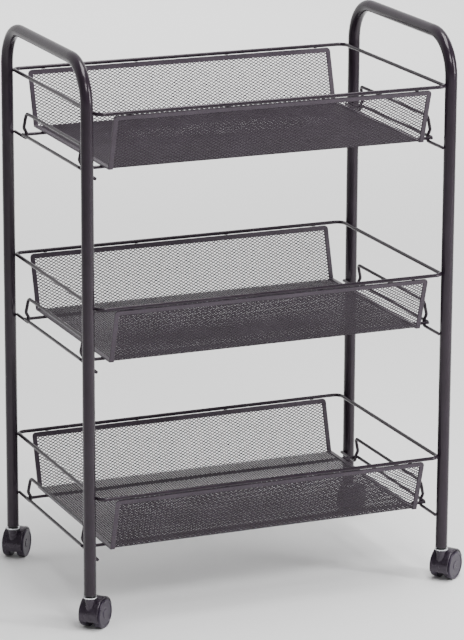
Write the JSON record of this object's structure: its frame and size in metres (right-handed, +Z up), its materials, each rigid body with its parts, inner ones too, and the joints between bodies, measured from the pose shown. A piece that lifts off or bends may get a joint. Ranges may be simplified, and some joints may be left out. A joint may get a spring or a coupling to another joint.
{
  "type": "utility cart",
  "caption": "Rolling utility cart: bent-tube side frames carry open-sided mesh baskets in tiers, on swivelling twin-wheel casters.",
  "frame": {"origin": "on the floor, midway between the stems of the four casters", "axes": "+Z up, +X to the right along the baskets, +Y to the back; the front basket walls face -Y"},
  "size_m": [0.4634, 0.2931, 0.625],
  "materials": {
    "powder_coat": "satin charcoal powder coat",
    "mesh_coat": "satin charcoal powder coat on expanded metal",
    "hood_plastic": "smooth moulded black",
    "wheel_plastic": "smooth moulded black",
    "socket_plastic": "moulded black",
    "zinc_steel": "bright zinc"
  },
  "bodies": {
    "frame": {"left_side_tube": "powder_coat", "right_side_tube": "powder_coat", "bottom_left_guard_wire": "powder_coat", "bottom_left_stay_wire": "powder_coat", "bottom_right_guard_wire": "powder_coat", "bottom_right_stay_wire": "powder_coat", "bottom_front_cross_wire": "powder_coat", "bottom_front_mesh": "mesh_coat", "bottom_back_cross_wire": "powder_coat", "bottom_back_mesh": "mesh_coat", "bottom_floor_mesh": "mesh_coat", "bottom_rim_wire": "powder_coat", "bottom_hem": "powder_coat", "bottom_tabs": "powder_coat", "middle_left_guard_wire": "powder_coat", "middle_left_stay_wire": "powder_coat", "middle_right_guard_wire": "powder_coat", "middle_right_stay_wire": "powder_coat", "middle_front_cross_wire": "powder_coat", "middle_front_mesh": "mesh_coat", "middle_back_cross_wire": "powder_coat", "middle_back_mesh": "mesh_coat", "middle_floor_mesh": "mesh_coat", "middle_rim_wire": "powder_coat", "middle_hem": "powder_coat", "middle_tabs": "powder_coat", "top_left_guard_wire": "powder_coat", "top_left_stay_wire": "powder_coat", "top_right_guard_wire": "powder_coat", "top_right_stay_wire": "powder_coat", "top_front_cross_wire": "powder_coat", "top_front_mesh": "mesh_coat", "top_back_cross_wire": "powder_coat", "top_back_mesh": "mesh_coat", "top_floor_mesh": "mesh_coat", "top_rim_wire": "powder_coat", "top_hem": "powder_coat", "top_tabs": "powder_coat", "caster_sockets": "socket_plastic", "front_left_stem": "zinc_steel", "front_right_stem": "zinc_steel", "back_left_stem": "zinc_steel", "back_right_stem": "zinc_steel"},
    "front_left_caster": {"front_left_hood": "hood_plastic", "front_left_axle": "zinc_steel"},
    "front_left_left_wheel": {"front_left_left_wheel": "wheel_plastic"},
    "front_left_right_wheel": {"front_left_right_wheel": "wheel_plastic"},
    "front_right_caster": {"front_right_hood": "hood_plastic", "front_right_axle": "zinc_steel"},
    "front_right_left_wheel": {"front_right_left_wheel": "wheel_plastic"},
    "front_right_right_wheel": {"front_right_right_wheel": "wheel_plastic"},
    "back_left_caster": {"back_left_hood": "hood_plastic", "back_left_axle": "zinc_steel"},
    "back_left_left_wheel": {"back_left_left_wheel": "wheel_plastic"},
    "back_left_right_wheel": {"back_left_right_wheel": "wheel_plastic"},
    "back_right_caster": {"back_right_hood": "hood_plastic", "back_right_axle": "zinc_steel"},
    "back_right_left_wheel": {"back_right_left_wheel": "wheel_plastic"},
    "back_right_right_wheel": {"back_right_right_wheel": "wheel_plastic"}
  },
  "joints": [
    {"name": "front_left_swivel", "type": "hinge", "parent": "frame", "child": "front_left_caster", "pos_m": [-0.21, -0.125, 0.038], "axis": [0, 0, 1], "continuous": true},
    {"name": "front_left_left_wheel_spin", "type": "hinge", "parent": "front_left_caster", "child": "front_left_left_wheel", "pos_m": [-0.20702, -0.1106, 0.016], "axis": [0.682, -0.7314, 0], "continuous": true},
    {"name": "front_left_right_wheel_spin", "type": "hinge", "parent": "front_left_caster", "child": "front_left_right_wheel", "pos_m": [-0.19543, -0.12303, 0.016], "axis": [0.682, -0.7314, 0], "continuous": true},
    {"name": "front_right_swivel", "type": "hinge", "parent": "frame", "child": "front_right_caster", "pos_m": [0.21, -0.125, 0.038], "axis": [0, 0, 1], "continuous": true},
    {"name": "front_right_left_wheel_spin", "type": "hinge", "parent": "front_right_caster", "child": "front_right_left_wheel", "pos_m": [0.21471, -0.11107, 0.016], "axis": [0.5878, -0.809, 0], "continuous": true},
    {"name": "front_right_right_wheel_spin", "type": "hinge", "parent": "front_right_caster", "child": "front_right_right_wheel", "pos_m": [0.2247, -0.12482, 0.016], "axis": [0.5878, -0.809, 0], "continuous": true},
    {"name": "back_left_swivel", "type": "hinge", "parent": "frame", "child": "back_left_caster", "pos_m": [-0.21, 0.125, 0.038], "axis": [0, 0, 1], "continuous": true},
    {"name": "back_left_left_wheel_spin", "type": "hinge", "parent": "back_left_caster", "child": "back_left_left_wheel", "pos_m": [-0.20931, 0.13969, 0.016], "axis": [0.788, -0.6157, 0], "continuous": true},
    {"name": "back_left_right_wheel_spin", "type": "hinge", "parent": "back_left_caster", "child": "back_left_right_wheel", "pos_m": [-0.19591, 0.12922, 0.016], "axis": [0.788, -0.6157, 0], "continuous": true},
    {"name": "back_right_swivel", "type": "hinge", "parent": "frame", "child": "back_right_caster", "pos_m": [0.21, 0.125, 0.038], "axis": [0, 0, 1], "continuous": true},
    {"name": "back_right_left_wheel_spin", "type": "hinge", "parent": "back_right_caster", "child": "back_right_left_wheel", "pos_m": [0.21273, 0.13945, 0.016], "axis": [0.6947, -0.7193, 0], "continuous": true},
    {"name": "back_right_right_wheel_spin", "type": "hinge", "parent": "back_right_caster", "child": "back_right_right_wheel", "pos_m": [0.22454, 0.12722, 0.016], "axis": [0.6947, -0.7193, 0], "continuous": true}
  ]
}
